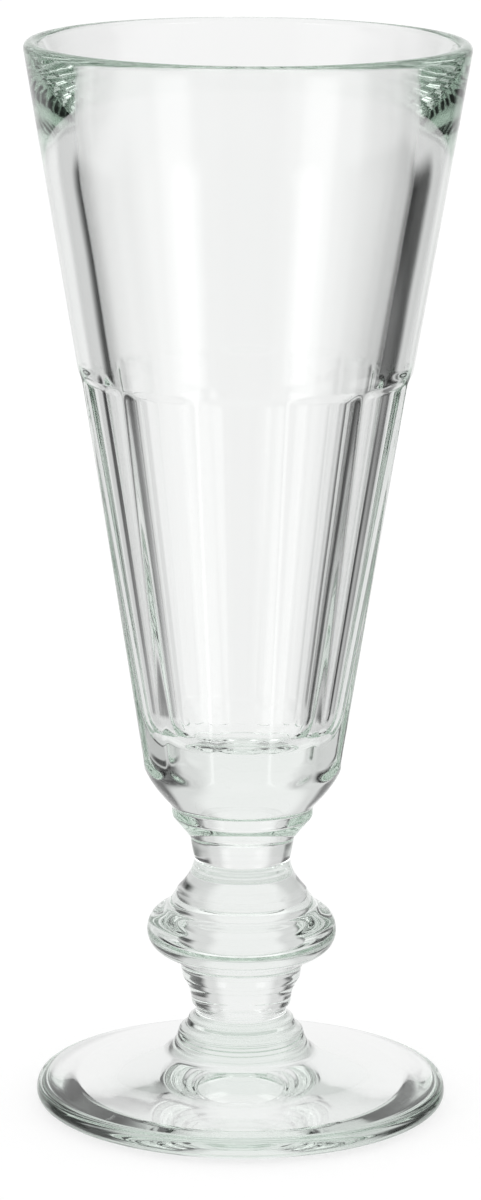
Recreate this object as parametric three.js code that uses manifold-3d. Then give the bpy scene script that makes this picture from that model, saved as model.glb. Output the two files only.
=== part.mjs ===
// Champagne glass of pressed glass: a bowl with flat panels, a ringed stem with a knop, a round foot.
// Millimetres, +Z up, with the origin where the axis meets the table.
import * as THREE from 'three';
import { mergeVertices } from 'three/addons/utils/BufferGeometryUtils.js';
import Module from 'manifold-3d';

// Foot
const footRadius = 33.6;
const footHeight = 11.9;
const footEdgeThickness = 4.2;
const footWidestHeight = 2.3;
const footUnderRound = 5.0;
const footUpperRound = 1.4;
const footHollowRadius = 26;
const footHollowDepth = 2.5;
const footFlareRadius = 13;
const footFlareHeight = 8.6;
const footFlarePullRadius = 11;
const footFlarePullHeight = 9.2;
const footSealRadius = 10.3;

// Stem: the height of each turned part, from the foot up
const lowerBeadHeight = 1.3;
const lowerBandHeight = 1.4;
const grooveHeight = 2.3;
const lowerNeckHeight = 4.5;
const lipHeight = 1.4;
const undercutHeight = 2.4;
const knopLowerHeight = 4.2;
const knopUpperHeight = 3.8;
const shoulderHeight = 3.0;
const upperBeadHeight = 2.6;
const neckBelowWaist = 3.0;
const neckAboveWaist = 3.4;
const flareHeight = 3.6;

// Stem: the radius at which each turned part ends
const lowerBeadRadius = 9.0;
const lowerBandRadius = 8.55;
const grooveDepth = 1.15;
const lowerNeckRadius = 8.15;
const lipRadius = 9.6;
const lipTopRadius = 9.8;
const undercutRadius = 11.7;
const knopRadius = 15.5;
const knopShoulderRadius = 12.9;
const upperBeadRadius = 10.6;
const neckBottomRadius = 8.6;
const waistRadius = 7.83;
const neckTopRadius = 8.5;
const bowlSealRadius = 11.5;

// Bowl: heights above its joint with the stem
const collarHeight = 1.7;
const cupHeight = 7.5;
const panelHeight = 64.5;
const rimBandHeight = 52.5;
const baseThickness = 12.6;

// Bowl: radii and glass thickness
const ridgeBottomRadius = 16.4;
const ridgeTopRadius = 26.9;
const rimRadius = 35.55;
const lipThickness = 2.4;
const lipTaperLength = 20;
const wallThickness = 5.4;
const cupWallThickness = 5.2;
const cavityFilletRadius = 6;

// Panels
const panelCount = 12;
const ridgeRound = 0.12;
const panelFillet = 1.8;
const panelCornerRadius = 2.4;
const panelEndArch = 1.5;

// Bends of the turned curves. Each gives the point that its curve is pulled towards, as a share of
// the curve's change in radius and a share of its height.
const lowerBeadBend = [0, 0.7];
const grooveLowerBend = [1, 0.1];
const grooveUpperBend = [0, 0.9];
const lowerNeckBend = [0, 0.6];
const lipBend = [1, 0.5];
const undercutBend = [0.16, 0.7];
const knopLowerBend = [0.98, 0.28];
const knopUpperBend = [0.03, 0.7];
const shoulderBend = [0.52, 0.25];
const upperBeadBend = [0.6, 0.45];
const neckLowerBend = [1, 0.5];
const neckUpperBend = [0.5, 0.3];
const flareBend = [0.27, 0.3];
const cupBend = [0.9, 0.6];

// How far out the foot's hollow stays nearly flat, as a share of its radius
const footHollowFlat = 0.3;

// Faces: the panels share the bowl's sides out evenly
const bowlSides = panelCount * 6;
const stemSides = panelCount * 4;
const footSides = panelCount * 6;
const curveSteps = 4;
const filletSteps = 3;
const weldDistance = 1e-4;

// Finish
const bowlColour = 0xe8efec;
const stemColour = 0xe3ece8;
const footColour = 0xdfe9e4;
const glassRoughness = 0.04;
const glassOpacity = 0.35;

const wasm = await Module();
wasm.setup();

// Seams and doubled axis points are merged, so that the surface closes on itself.
function closedGeometry(geometry) {
  geometry.deleteAttribute('normal');
  geometry.deleteAttribute('uv');
  return mergeVertices(geometry, weldDistance);
}

// A turned solid. Its outline of (radius, height) starts and ends on the axis and runs counter-clockwise.
function turned(outline, sides) {
  const geometry = new THREE.LatheGeometry(outline.getPoints(curveSteps), sides);
  geometry.rotateX(Math.PI / 2);
  return closedGeometry(geometry);
}

function toManifold(geometry) {
  const triVerts = new Uint32Array(geometry.index.array);
  const vertProperties = new Float32Array(geometry.attributes.position.array);
  return new wasm.Manifold(new wasm.Mesh({ numProp: 3, vertProperties, triVerts }));
}

function toGeometry(manifold) {
  const mesh = manifold.getMesh();
  const geometry = new THREE.BufferGeometry();
  geometry.setAttribute('position', new THREE.BufferAttribute(mesh.vertProperties, 3));
  geometry.setIndex(new THREE.BufferAttribute(mesh.triVerts, 1));
  return geometry;
}

// Draws one turned part after another up an outline, from the joint radius it starts with.
class Turning {
  constructor(startRadius) {
    this.path = new THREE.Path();
    this.path.moveTo(0, 0);
    this.path.lineTo(startRadius, 0);
    this.radius = startRadius;
    this.height = 0;
  }

  straight(height, radius) {
    this.radius = radius;
    this.height += height;
    this.path.lineTo(radius, this.height);
  }

  curve(height, radius, [radiusShare, heightShare]) {
    const bendRadius = this.radius + (radius - this.radius) * radiusShare;
    const bendHeight = this.height + height * heightShare;
    this.radius = radius;
    this.height += height;
    this.path.quadraticCurveTo(bendRadius, bendHeight, radius, this.height);
  }

  close() {
    this.path.lineTo(0, this.height);
    return this.path;
  }
}

// The foot stands on a flat ring and is hollow underneath. Its top is a low cone from the round edge
// to a short flare under the stem.
function footOutline() {
  const outline = new THREE.Path();
  outline.moveTo(0, footHollowDepth);
  outline.quadraticCurveTo(footHollowRadius * footHollowFlat, footHollowDepth, footHollowRadius, 0);
  outline.lineTo(footRadius - footUnderRound, 0);
  outline.quadraticCurveTo(footRadius, 0, footRadius, footWidestHeight);
  outline.quadraticCurveTo(footRadius, footEdgeThickness,
    footRadius - footUpperRound, footEdgeThickness);
  outline.lineTo(footFlareRadius, footFlareHeight);
  outline.quadraticCurveTo(footFlarePullRadius, footFlarePullHeight, footSealRadius, footHeight);
  outline.lineTo(0, footHeight);
  return outline;
}

function stemTurning() {
  const stem = new Turning(footSealRadius);

  // bead and band on the foot, a groove, the lower neck and the lip under the knop
  const grooveRadius = lowerBandRadius - grooveDepth;
  stem.curve(lowerBeadHeight, lowerBeadRadius, lowerBeadBend);
  stem.straight(lowerBandHeight, lowerBandRadius);
  stem.curve(grooveHeight / 2, grooveRadius, grooveLowerBend);
  stem.curve(grooveHeight / 2, lowerNeckRadius, grooveUpperBend);
  stem.curve(lowerNeckHeight, lipRadius, lowerNeckBend);
  stem.curve(lipHeight, lipTopRadius, lipBend);

  // the knop: an undercut, two rounds that meet at its widest, and a sloping shoulder
  stem.curve(undercutHeight, undercutRadius, undercutBend);
  stem.curve(knopLowerHeight, knopRadius, knopLowerBend);
  stem.curve(knopUpperHeight, knopShoulderRadius, knopUpperBend);
  stem.curve(shoulderHeight, upperBeadRadius, shoulderBend);

  // bead over the knop, the upper neck with its waist, and the flare under the bowl
  stem.curve(upperBeadHeight, neckBottomRadius, upperBeadBend);
  stem.curve(neckBelowWaist, waistRadius, neckLowerBend);
  stem.curve(neckAboveWaist, neckTopRadius, neckUpperBend);
  stem.curve(flareHeight, bowlSealRadius, flareBend);
  return stem;
}

// The bowl before its panels are cut: round outside and in, with a fire-polished lip.
function bowlBlank() {
  const bowl = new Turning(bowlSealRadius);
  bowl.straight(collarHeight, bowlSealRadius);
  bowl.curve(cupHeight, ridgeBottomRadius, cupBend);
  bowl.straight(panelHeight, ridgeTopRadius);
  const bandHeight = bowl.height;
  const rimHeight = bandHeight + rimBandHeight;
  const lipRound = lipThickness / 2;
  const lipCentreHeight = rimHeight - lipRound;
  bowl.straight(lipCentreHeight - bandHeight, rimRadius);
  bowl.path.absarc(rimRadius - lipRound, lipCentreHeight, lipRound, 0, Math.PI, false);

  // the cavity: a long taper under the lip, a cone and a floor with a wide fillet
  const taperHeight = rimHeight - lipTaperLength;
  const wallSlope = (rimRadius - ridgeTopRadius) / (lipCentreHeight - bandHeight);
  const taperRadius = ridgeTopRadius + wallSlope * (taperHeight - bandHeight) - wallThickness;
  const floorRadius = ridgeBottomRadius - cupWallThickness;
  const cavitySlope = (taperRadius - floorRadius) / (taperHeight - baseThickness);
  bowl.path.quadraticCurveTo(
    taperRadius + (cavitySlope * lipTaperLength) / 2, taperHeight + lipTaperLength / 2,
    taperRadius, taperHeight,
  );
  bowl.path.lineTo(floorRadius + cavitySlope * cavityFilletRadius,
    baseThickness + cavityFilletRadius);
  bowl.path.quadraticCurveTo(floorRadius, baseThickness,
    floorRadius - cavityFilletRadius, baseThickness);
  bowl.path.lineTo(0, baseThickness);
  return turned(bowl.path, bowlSides);
}

// One panel's cutter. Its floor is the flat panel, as wide as the space between two ridges, straight
// at the top with round corners and arched at the lower end. The bevel leaves a hollow fillet round it.
function panelCutter(angle) {
  const halfPitch = Math.PI / panelCount;
  const bottomFlat = (ridgeBottomRadius + ridgeRound) * Math.cos(halfPitch);
  const topFlat = (ridgeTopRadius + ridgeRound) * Math.cos(halfPitch);
  const lean = Math.atan((topFlat - bottomFlat) / panelHeight);
  const length = panelHeight / Math.cos(lean) - panelFillet;
  const halfWidthAt = (along) => (bottomFlat + along * Math.sin(lean)) * Math.tan(halfPitch)
    + ridgeRound;
  const bottomHalf = halfWidthAt(panelEndArch);
  const topHalf = halfWidthAt(length);

  const outline = new THREE.Shape();
  outline.moveTo(-bottomHalf, panelEndArch);
  outline.quadraticCurveTo(0, -panelEndArch, bottomHalf, panelEndArch);
  outline.lineTo(topHalf, length - panelCornerRadius);
  outline.quadraticCurveTo(topHalf, length, topHalf - panelCornerRadius, length);
  outline.lineTo(panelCornerRadius - topHalf, length);
  outline.quadraticCurveTo(-topHalf, length, -topHalf, length - panelCornerRadius);
  outline.closePath();

  const cutter = new THREE.ExtrudeGeometry(outline, {
    depth: panelFillet,
    bevelThickness: panelFillet,
    bevelSize: panelFillet,
    bevelSegments: filletSteps,
    curveSegments: curveSteps,
  });
  cutter.translate(0, 0, panelFillet);

  // stand the outline up with its floor facing the axis, lean it to the cone and turn it into place
  cutter.applyMatrix4(new THREE.Matrix4().makeBasis(
    new THREE.Vector3(0, 1, 0),
    new THREE.Vector3(Math.sin(lean), 0, Math.cos(lean)),
    new THREE.Vector3(Math.cos(lean), 0, -Math.sin(lean)),
  ));
  cutter.translate(bottomFlat, 0, collarHeight + cupHeight);
  cutter.rotateZ(angle);
  return closedGeometry(cutter);
}

function panelledBowl() {
  let bowl = toManifold(bowlBlank());
  for (let i = 0; i < panelCount; i += 1) {
    const angle = -Math.PI / 2 + (i * 2 * Math.PI) / panelCount;
    bowl = bowl.subtract(toManifold(panelCutter(angle)));
  }
  return toGeometry(bowl);
}

function glassMesh(name, geometry, colour) {
  geometry.computeVertexNormals();
  const mesh = new THREE.Mesh(geometry, new THREE.MeshStandardMaterial({
    color: colour,
    roughness: glassRoughness,
    metalness: 0,
    transparent: true,
    opacity: glassOpacity,
  }));
  mesh.name = name;
  return mesh;
}

// The three pieces are sealed hot to each other, face to face, one on top of the other.
const glass = new THREE.Group();
const stemPath = stemTurning();

const foot = glassMesh('foot', turned(footOutline(), footSides), footColour);
glass.add(foot);

const stem = glassMesh('stem', turned(stemPath.close(), stemSides), stemColour);
stem.position.z = footHeight;
glass.add(stem);

const bowl = glassMesh('bowl', panelledBowl(), bowlColour);
bowl.position.z = footHeight + stemPath.height;
glass.add(bowl);

export default glass;
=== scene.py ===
import math

import bpy
import numpy as np
from mathutils import Matrix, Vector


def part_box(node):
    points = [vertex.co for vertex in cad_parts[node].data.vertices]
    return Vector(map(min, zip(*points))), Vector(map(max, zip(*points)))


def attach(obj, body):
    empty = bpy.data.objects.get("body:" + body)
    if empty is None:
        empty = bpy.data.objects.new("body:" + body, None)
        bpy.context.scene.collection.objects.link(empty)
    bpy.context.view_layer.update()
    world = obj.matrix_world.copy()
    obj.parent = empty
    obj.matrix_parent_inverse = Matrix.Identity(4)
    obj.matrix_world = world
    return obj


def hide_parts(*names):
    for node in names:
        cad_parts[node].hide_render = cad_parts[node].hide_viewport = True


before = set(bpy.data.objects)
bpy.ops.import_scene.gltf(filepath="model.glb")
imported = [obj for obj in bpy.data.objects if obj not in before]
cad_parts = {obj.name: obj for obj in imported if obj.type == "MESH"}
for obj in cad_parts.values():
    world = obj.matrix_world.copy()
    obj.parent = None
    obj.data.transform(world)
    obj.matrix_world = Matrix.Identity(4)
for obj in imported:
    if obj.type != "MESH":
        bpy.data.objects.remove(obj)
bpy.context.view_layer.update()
print("frame loaded:", sorted(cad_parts))

mm = 0.001

foot = {
    "radius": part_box("foot")[1].x / mm,
    "height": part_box("foot")[1].z / mm,
    "edgeThickness": 4.2,
    "widestHeight": 2.3,
    "underRound": 5.0,
    "upperRound": 1.4,
    "flareStart": (13.0, 8.6),
    "flarePull": (11.0, 9.2),
    "hollowRadius": 26.0,
    "hollowDepth": 2.5,
    "hollowFlat": 0.3,  # share of the hollow's radius that is nearly flat
    "sealRadius": 10.3,
}


def drawFoot(outline):
    edgeTop = foot["edgeThickness"]
    outline.start(0, foot["hollowDepth"])
    outline.bend((foot["hollowRadius"] * foot["hollowFlat"], foot["hollowDepth"]),
                 (foot["hollowRadius"], 0))
    outline.line((foot["radius"] - foot["underRound"], 0))
    outline.bend((foot["radius"], 0), (foot["radius"], foot["widestHeight"]))
    outline.bend((foot["radius"], edgeTop), (foot["radius"] - foot["upperRound"], edgeTop))
    outline.line(foot["flareStart"])
    outline.bend(foot["flarePull"], (foot["sealRadius"], foot["height"]))


# each turned part of the stem from the foot up: its height, the radius it ends at, and the point that
# its curve is pulled towards, as shares of its change in radius and of its height, or None if straight
stem = {
    "lower bead": (1.3, 9.0, (0, 0.7)),
    "lower band": (1.4, 8.55, None),
    "groove, lower half": (1.15, 7.4, (1, 0.1)),
    "groove, upper half": (1.15, 8.15, (0, 0.9)),
    "lower neck": (4.5, 9.6, (0, 0.6)),
    "lip": (1.4, 9.8, (1, 0.5)),
    "undercut": (2.4, 11.7, (0.16, 0.7)),
    "knop, lower half": (4.2, 15.5, (0.98, 0.28)),
    "knop, upper half": (3.8, 12.9, (0.03, 0.7)),
    "shoulder": (3.0, 10.6, (0.52, 0.25)),
    "upper bead": (2.6, 8.6, (0.6, 0.45)),
    "neck below its waist": (3.0, 7.83, (1, 0.5)),
    "neck above its waist": (3.4, 8.5, (0.5, 0.3)),
    "flare": (3.6, 11.5, (0.27, 0.3)),
}


def drawStem(outline):
    for height, radius, pull in stem.values():
        outline.turn(height, radius, pull)


bowl = {
    "rimHeight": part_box("bowl")[1].z / mm,
    "rimRadius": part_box("bowl")[1].x / mm,
    "collarHeight": 1.7,
    "cupHeight": 7.5,
    "cupPull": (0.9, 0.6),
    "panelHeight": 64.5,
    "baseThickness": 12.6,
    "ridgeBottomRadius": 16.4,
    "ridgeTopRadius": 26.9,
    "lipThickness": 2.4,
    "lipTaper": 20,
    "wall": 5.4,
    "cupWall": 5.2,
    "cavityFillet": 6,
}


def drawBowl(outline):
    sealHeight = outline.height
    outline.turn(bowl["collarHeight"], outline.radius, None)
    outline.turn(bowl["cupHeight"], bowl["ridgeBottomRadius"], bowl["cupPull"])
    outline.mark("panelBottom")
    outline.turn(bowl["panelHeight"], bowl["ridgeTopRadius"], None)
    outline.mark("panelTop")
    bandRadius, bandHeight = outline.radius, outline.height
    lipRound = bowl["lipThickness"] / 2
    lipCentre = bowl["rimHeight"] - lipRound
    outline.line((bowl["rimRadius"], lipCentre))
    outline.arc((bowl["rimRadius"] - lipRound, lipCentre), lipRound, 0, math.pi)
    outline.mark("inside")

    taperHeight = bowl["rimHeight"] - bowl["lipTaper"]
    outerSlope = (bowl["rimRadius"] - bandRadius) / (lipCentre - bandHeight)
    taperRadius = bandRadius + outerSlope * (taperHeight - bandHeight) - bowl["wall"]
    floorHeight = sealHeight + bowl["baseThickness"]
    floorRadius = bowl["ridgeBottomRadius"] - bowl["cupWall"]
    fillet = bowl["cavityFillet"]
    slope = (taperRadius - floorRadius) / (taperHeight - floorHeight)
    halfTaper = bowl["lipTaper"] / 2
    outline.bend((taperRadius + slope * halfTaper, taperHeight + halfTaper),
                 (taperRadius, taperHeight))
    outline.line((floorRadius + slope * fillet, floorHeight + fillet))
    outline.bend((floorRadius, floorHeight), (floorRadius - fillet, floorHeight))
    outline.line((0, floorHeight))


class Outline:  # a line of (radius, height) points, from the axis under the foot to the bowl's floor
    step = 0.05  # how far apart its points lie

    def start(self, radius, height):
        self.points = [(radius, height)]
        self.marks = {}

    radius = property(lambda self: self.points[-1][0])
    height = property(lambda self: self.points[-1][1])

    def mark(self, name):
        self.marks[name] = self.length()

    def length(self):
        return float(np.hypot(*np.diff(np.array(self.points), axis=0).T).sum())

    def line(self, end):
        self.bend(((self.radius + end[0]) / 2, (self.height + end[1]) / 2), end)

    def bend(self, pull, end):
        start = self.points[-1]
        steps = max(2, int((math.dist(start, pull) + math.dist(pull, end)) / self.step))
        for i in range(1, steps + 1):
            t = i / steps
            self.points.append(tuple((1 - t) ** 2 * a + 2 * t * (1 - t) * b + t * t * c
                                     for a, b, c in zip(start, pull, end)))

    def arc(self, centre, radius, first, last):
        steps = int(abs(last - first) * radius / self.step)
        for i in range(1, steps + 1):
            angle = first + (last - first) * i / steps
            self.points.append((centre[0] + radius * math.cos(angle),
                                centre[1] + radius * math.sin(angle)))

    def turn(self, height, radius, pull):
        share = pull or (0.5, 0.5)
        self.bend((self.radius + (radius - self.radius) * share[0], self.height + height * share[1]),
                  (radius, self.height + height))


polish = {
    "reach": 0.3,  # how far the fire polish rounds each edge
    "tails": 5,  # how many reaches count to either side of a point
    "sampleStep": 0.04,
}


# the edges of pressed glass are melted a little: the outline is smoothed along its length
def firePolish(outline):
    points = np.array(outline.points)
    along = np.concatenate([[0], np.cumsum(np.hypot(*np.diff(points, axis=0).T))])
    count = int(along[-1] / polish["sampleStep"])
    even = np.linspace(0, along[-1], count)
    radius, height = (np.interp(even, along, points[:, k]) for k in (0, 1))
    tail = int(polish["tails"] * polish["reach"] / polish["sampleStep"])
    offsets = np.arange(-tail, tail + 1)
    weights = np.exp(-0.5 * (offsets * polish["sampleStep"] / polish["reach"]) ** 2)
    weights /= weights.sum()
    # past the axis the outline goes on as its own mirror image
    radius = np.concatenate([-radius[tail:0:-1], radius, -radius[-2:-tail - 2:-1]])
    height = np.concatenate([height[tail:0:-1], height, height[-2:-tail - 2:-1]])
    return even, np.convolve(radius, weights, "valid"), np.convolve(height, weights, "valid")


panels = {
    "count": 12,
    "ridgeRound": 0.12,
    "ridgeSoftness": 0.1,
    "fillet": 1.8,
    "corner": 2.4,
    "endArch": 1.5,
}


# how deep the flat panels cut into the turned blank, where it has this radius
def panelCut(angle, height, radius, bottom, top):
    halfPitch = math.pi / panels["count"]
    fromMiddle = (angle + math.pi / 2 + halfPitch) % (2 * halfPitch) - halfPitch
    ridges = np.array([bowl["ridgeBottomRadius"], bowl["ridgeTopRadius"]]) + panels["ridgeRound"]
    share = (height - bottom) / (top - bottom)
    flat = (ridges[0] + (ridges[1] - ridges[0]) * share) * math.cos(halfPitch)
    depth = radius - flat / np.cos(fromMiddle)
    softDepth = (depth + np.sqrt(depth ** 2 + panels["ridgeSoftness"] ** 2)) / 2

    # signed distance past the panel's edge: round corners at its top, an arch at its bottom
    across = np.abs(flat * np.tan(fromMiddle))
    half = flat * math.tan(halfPitch) + panels["ridgeRound"]
    corner = panels["corner"]
    cornerX = across - (half - corner)
    cornerY = height - (top - panels["fillet"] - corner)
    pastTop = np.where((cornerX > 0) & (cornerY > 0), np.hypot(cornerX, cornerY) - corner,
                       np.maximum(cornerX, cornerY) - corner)
    pastBottom = panels["endArch"] * (across / half) ** 2 - (height - bottom)
    past = np.clip(np.maximum(pastTop, pastBottom) / panels["fillet"], 0, 1)
    return softDepth * (1 - past * past * (3 - 2 * past))


mesh = {
    "rows": 480,
    "longestStep": 2.6,
    "fineStep": 0.2,
    "fineReach": 3.2,  # either side of the panels' ends
    "turnPerRow": math.radians(5),
    "panelColumns": (0, 3, 6, 9, 11, 12.5, 13.5, 14.3, 15),  # degrees from a panel's middle
    "normalTurn": 1e-4,  # radians each way from a point, to the neighbours that give its normal
    "normalShift": 0.02,  # the same along the outline
}


class GlassSurface:  # the whole outer and inner surface, as points by angle and length along the outline
    def __init__(self):
        self.outline = Outline()
        drawFoot(self.outline)
        drawStem(self.outline)
        drawBowl(self.outline)
        self.along, self.radius, self.height = firePolish(self.outline)
        marks = self.outline.marks
        self.bottom, self.top = (float(np.interp(marks[name], self.along, self.height))
                                 for name in ("panelBottom", "panelTop"))

    def points(self, angle, along):
        radius = np.interp(along, self.along, self.radius)
        height = np.interp(along, self.along, self.height)
        cut = panelCut(angle, height, radius, self.bottom, self.top)
        outside = along < self.outline.marks["inside"]
        radius = np.where(outside, radius - cut, radius)
        return np.stack([radius * np.cos(angle), radius * np.sin(angle), height], -1)

    def normals(self, angle, along):
        turn, shift = mesh["normalTurn"], mesh["normalShift"]
        byAngle = self.points(angle + turn, along) - self.points(angle - turn, along)
        byLength = self.points(angle, along + shift) - self.points(angle, along - shift)
        normal = np.cross(byAngle, byLength)
        return normal / np.linalg.norm(normal, axis=-1, keepdims=True)

    # rows lie closer where the outline turns and at both ends of the panels
    def rows(self):
        turning = np.abs(np.gradient(np.unwrap(np.arctan2(np.gradient(self.height),
                                                          np.gradient(self.radius)))))
        step = np.gradient(self.along)
        marks = self.outline.marks
        nearest = np.minimum(*(np.abs(self.along - marks[name]) for name in ("panelBottom", "panelTop")))
        longest = np.where(nearest < mesh["fineReach"], mesh["fineStep"], mesh["longestStep"])
        cost = np.cumsum(step / longest + turning / mesh["turnPerRow"])
        return np.interp(np.linspace(cost[0], cost[-1], mesh["rows"] + 2)[1:-1], cost, self.along)

    def columns(self):
        half = np.radians(mesh["panelColumns"])
        panel = np.concatenate([-half[:0:-1], half[:-1]])
        starts = -math.pi / 2 + np.arange(panels["count"]) * 2 * math.pi / panels["count"]
        return (starts[:, None] + panel[None, :]).ravel()


def makeGlassMesh():
    surface = GlassSurface()
    along, angle = np.meshgrid(surface.rows(), surface.columns(), indexing="ij")
    points = surface.points(angle, along)
    normals = surface.normals(angle, along)
    rowCount, columnCount = angle.shape
    under = (0, 0, float(surface.height[0]))
    floor = (0, 0, float(surface.height[-1]))
    vertices = np.concatenate([points.reshape(-1, 3), [under, floor]]) * mm
    vertexNormals = np.concatenate([normals.reshape(-1, 3), [(0, 0, -1), (0, 0, 1)]])

    grid = np.arange(rowCount * columnCount).reshape(rowCount, columnCount)
    beside = np.roll(grid, -1, axis=1)
    quads = np.stack([grid[:-1], beside[:-1], beside[1:], grid[1:]], -1).reshape(-1, 4)
    underIndex, floorIndex = rowCount * columnCount, rowCount * columnCount + 1
    faces = quads.tolist()
    faces += [(underIndex, int(b), int(a)) for a, b in zip(grid[0], beside[0])]
    faces += [(floorIndex, int(a), int(b)) for a, b in zip(grid[-1], beside[-1])]

    data = bpy.data.meshes.new("champagne_glass")
    data.from_pydata(vertices.tolist(), [], faces)
    data.polygons.foreach_set("use_smooth", [True] * len(data.polygons))
    data.normals_split_custom_set_from_vertices(vertexNormals.tolist())
    data.update()
    glass = bpy.data.objects.new("champagne_glass", data)
    bpy.context.scene.collection.objects.link(glass)
    print("glass mesh:", len(faces), "faces")
    return glass


clearGlass = {
    "ior": 1.52,
    "absorption": (0.83, 0.88, 0.845),
    "density": 20.0,
    "rippleScale": 40.0,
    "rippleDetail": 1,
    "rippleDepth": 0.0001,
    "leastRoughness": 0.0,
    "mostRoughness": 0.012,
}


def makeClearGlass():
    material = bpy.data.materials.new("clearGlass")
    material.use_nodes = True
    nodes, links = material.node_tree.nodes, material.node_tree.links
    shader = nodes["Principled BSDF"]
    shader.inputs["Base Color"].default_value = (1, 1, 1, 1)
    shader.inputs["Metallic"].default_value = 0
    shader.inputs["Transmission Weight"].default_value = 1
    shader.inputs["IOR"].default_value = clearGlass["ior"]

    place = nodes.new("ShaderNodeTexCoord")
    ripple = nodes.new("ShaderNodeTexNoise")
    ripple.inputs["Scale"].default_value = clearGlass["rippleScale"]
    ripple.inputs["Detail"].default_value = clearGlass["rippleDetail"]
    bump = nodes.new("ShaderNodeBump")
    bump.inputs["Distance"].default_value = clearGlass["rippleDepth"]
    haze = nodes.new("ShaderNodeMapRange")
    haze.inputs["To Min"].default_value = clearGlass["leastRoughness"]
    haze.inputs["To Max"].default_value = clearGlass["mostRoughness"]
    links.new(place.outputs["Object"], ripple.inputs["Vector"])
    links.new(ripple.outputs["Fac"], bump.inputs["Height"])
    links.new(ripple.outputs["Fac"], haze.inputs["Value"])
    links.new(bump.outputs["Normal"], shader.inputs["Normal"])
    links.new(haze.outputs["Result"], shader.inputs["Roughness"])

    tint = nodes.new("ShaderNodeVolumeAbsorption")
    tint.inputs["Color"].default_value = (*clearGlass["absorption"], 1)
    tint.inputs["Density"].default_value = clearGlass["density"]
    links.new(tint.outputs["Volume"], nodes["Material Output"].inputs["Volume"])
    return material


view = {
    "distance": 0.8271,
    "height": 0.2689,
    "pitch": math.radians(12.57),
    "heading": math.radians(1.3),
    "roll": math.radians(0.41),
    "focalPixels": 5243,
    "pictureHeight": 1200,
    "axisOffsetPixels": 3.6,  # the glass's axis stands this far right of the picture's middle
    "sensorWidth": 36,
    "nearest": 0.05,
    "farthest": 50,
}


def makeCamera():
    data = bpy.data.cameras.new("camera")
    data.sensor_width = view["sensorWidth"]
    data.lens = view["focalPixels"] / view["pictureHeight"] * data.sensor_width
    data.clip_start = view["nearest"]
    data.clip_end = view["farthest"]
    camera = bpy.data.objects.new("camera", data)
    bpy.context.scene.collection.objects.link(camera)
    bpy.context.scene.camera = camera
    aside = math.atan(view["axisOffsetPixels"] / view["focalPixels"])
    turned = (Matrix.Rotation(view["heading"] + aside, 4, "Z")
              @ Matrix.Rotation(math.pi / 2 - view["pitch"], 4, "X")
              @ Matrix.Rotation(view["roll"], 4, "Z"))
    place = Matrix.Translation((view["distance"] * math.sin(view["heading"]),
                                -view["distance"] * math.cos(view["heading"]), view["height"]))
    camera.matrix_world = place @ turned


class NodeMaths:  # short names for the sums in a node tree
    def __init__(self, tree):
        self.tree = tree

    def put(self, socket, value):
        if isinstance(value, bpy.types.NodeSocket):
            self.tree.links.new(value, socket)
        else:
            socket.default_value = value

    def sum(self, operation, *values):
        node = self.tree.nodes.new("ShaderNodeMath")
        node.operation = operation
        for socket, value in zip(node.inputs, values):
            self.put(socket, value)
        return node.outputs["Value"]

    def vector(self, operation, *values):
        node = self.tree.nodes.new("ShaderNodeVectorMath")
        node.operation = operation
        for socket, value in zip(node.inputs, values):
            self.put(socket, value)
        return node.outputs["Value" if operation == "DOT_PRODUCT" else "Vector"]

    def ease(self, value, start, end, low=0.0, high=1.0):
        node = self.tree.nodes.new("ShaderNodeMapRange")
        node.interpolation_type = "SMOOTHSTEP"
        for name, setting in (("Value", value), ("From Min", start), ("From Max", end),
                              ("To Min", low), ("To Max", high)):
            self.put(node.inputs[name], setting)
        return node.outputs["Result"]

    def mix(self, share, first, second):
        difference = self.sum("SUBTRACT", second, first)
        return self.sum("MULTIPLY_ADD", share, difference, first)


# What stands round the glass, seen in it and through it. Each area has its direction, half its width, its
# lowest and highest elevation and its brightness, and covers the areas before it. Angles are in degrees,
# and a direction of 0 is straight behind the glass and 90 is to its right.
room = {
    "brightness": 0.9,  # where no area lies
    "softEdge": 10,
    "areas": {
        "ceiling": (0, 180, 60, 90, 1.1),
        "behind the camera": (180, 72, -45, 20, 0.8),
        "grey screen": (0, 66, -50, 45, 0.72),
        "backdrop": (-5, 20, -90, 90, 0.93),
        "left soft box": (-132, 20, -43, 8, 1.15),
        "right soft box": (140, 19, -50, 25, 1.0),
        "left strip light": (-140, 8, -36, -21, 2.5),
        "right strip light": (138, 8, -36, -21, 2.5),
        "left gap": (-76, 36, 10, 33, 0.03),
        "left low gap": (-67, 18, -23, 4, 0.03),
        "right gap": (60, 30, 2, 48, 0.03),
        "right middle gap": (49, 18, -20, -4, 0.03),
        "right low gap": (83, 28, -34, -15, 0.03),
    },
}


# how far a direction lies in one area of the room, with soft edges
def areaMask(maths, level, upward, towards, halfWidth, lowest, highest):
    softEdges = (-room["softEdge"] / 2, room["softEdge"] / 2)
    masks = []
    if halfWidth < 180:
        middle = (math.sin(math.radians(towards)), math.cos(math.radians(towards)), 0)
        along = maths.vector("DOT_PRODUCT", level, middle)
        inner, outer = (math.cos(math.radians(halfWidth + soft)) for soft in softEdges)
        masks.append(maths.ease(along, outer, inner))
    if lowest > -90:
        start, end = (math.sin(math.radians(lowest + soft)) for soft in softEdges)
        masks.append(maths.ease(upward, start, end))
    if highest < 90:
        start, end = (math.sin(math.radians(highest + soft)) for soft in softEdges)
        masks.append(maths.ease(upward, start, end, 1.0, 0.0))
    mask = masks[0]
    for other in masks[1:]:
        mask = maths.sum("MULTIPLY", mask, other)
    return mask


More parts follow.
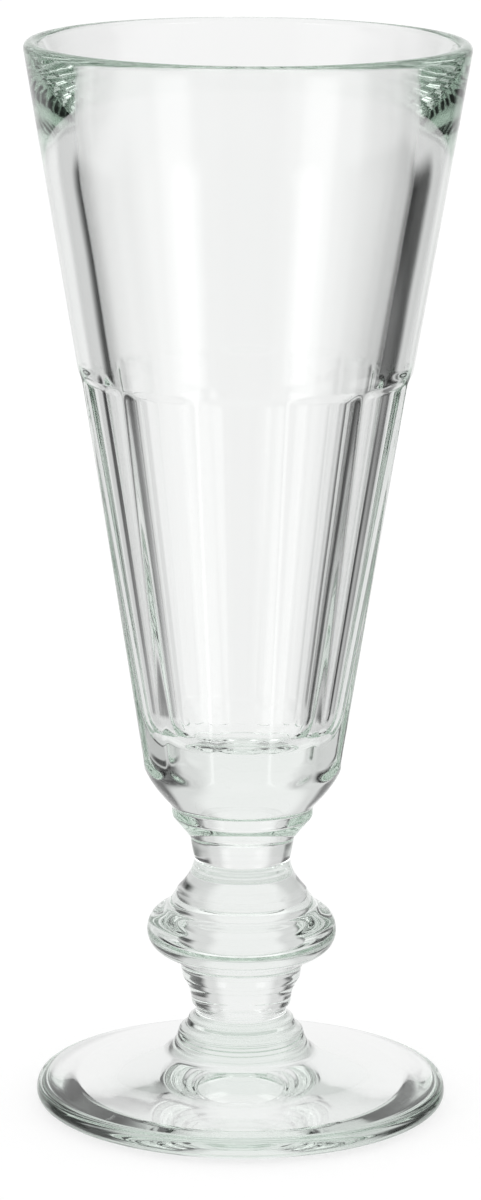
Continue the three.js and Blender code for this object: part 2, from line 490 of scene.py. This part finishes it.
def makeWorld():
    world = bpy.data.worlds.new("room")
    bpy.context.scene.world = world
    world.use_nodes = True
    maths = NodeMaths(world.node_tree)
    direction = world.node_tree.nodes.new("ShaderNodeTexCoord").outputs["Generated"]
    upward = maths.vector("DOT_PRODUCT", direction, (0, 0, 1))
    level = maths.vector("NORMALIZE", maths.vector("MULTIPLY", direction, (1, 1, 0)))
    light = room["brightness"]
    for towards, halfWidth, lowest, highest, brightness in room["areas"].values():
        mask = areaMask(maths, level, upward, towards, halfWidth, lowest, highest)
        light = maths.mix(mask, light, brightness)
    # the camera and the floor meet plain white all round
    rays = world.node_tree.nodes.new("ShaderNodeLightPath")
    plain = maths.sum("MAXIMUM", rays.outputs["Is Camera Ray"], rays.outputs["Is Diffuse Ray"])
    background = world.node_tree.nodes["Background"]
    background.inputs["Color"].default_value = (1, 1, 1, 1)
    maths.put(background.inputs["Strength"], maths.mix(plain, light, 1.0))


floorLook = {
    "size": 6.0,
    "colour": (0.9, 0.9, 0.9, 1),
    "glow": 0.68,  # the white that no shadow darkens
    "shadowShare": 0.4,
}


def makeFloor():
    half = floorLook["size"] / 2
    data = bpy.data.meshes.new("floor")
    data.from_pydata([(-half, -half, 0), (half, -half, 0), (half, half, 0), (-half, half, 0)],
                     [], [(0, 1, 2, 3)])
    floor = bpy.data.objects.new("floor", data)
    bpy.context.scene.collection.objects.link(floor)
    material = bpy.data.materials.new("paleFloor")
    material.use_nodes = True
    nodes, links = material.node_tree.nodes, material.node_tree.links
    nodes.remove(nodes["Principled BSDF"])
    matt = nodes.new("ShaderNodeBsdfDiffuse")
    matt.inputs["Color"].default_value = floorLook["colour"]
    glow = nodes.new("ShaderNodeEmission")
    glow.inputs["Strength"].default_value = floorLook["glow"] / (1 - floorLook["shadowShare"])
    white = nodes.new("ShaderNodeMixShader")
    white.inputs["Fac"].default_value = floorLook["shadowShare"]
    links.new(glow.outputs["Emission"], white.inputs[1])
    links.new(matt.outputs["BSDF"], white.inputs[2])
    # in and through the glass the room is seen instead, below the horizon too
    clear = nodes.new("ShaderNodeBsdfTransparent")
    rays = nodes.new("ShaderNodeLightPath")
    maths = NodeMaths(material.node_tree)
    seen = maths.sum("MAXIMUM", rays.outputs["Is Transmission Ray"], rays.outputs["Is Glossy Ray"])
    surface = nodes.new("ShaderNodeMixShader")
    links.new(seen, surface.inputs["Fac"])
    links.new(white.outputs["Shader"], surface.inputs[1])
    links.new(clear.outputs["BSDF"], surface.inputs[2])
    links.new(surface.outputs["Shader"], nodes["Material Output"].inputs["Surface"])
    data.materials.append(material)


bounces = 40  # light turns about in the thick base many times before it comes out

scene = bpy.context.scene
scene.view_settings.view_transform = "Standard"
scene.cycles.max_bounces = bounces
scene.cycles.transmission_bounces = bounces
scene.cycles.glossy_bounces = bounces

glass = makeGlassMesh()
glass.data.materials.append(makeClearGlass())
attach(glass, "root")
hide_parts("bowl", "stem", "foot")
print("glass placed")
makeCamera()
print("camera placed")
makeWorld()
print("room made:", len(room["areas"]), "areas")
makeFloor()
print("floor made")
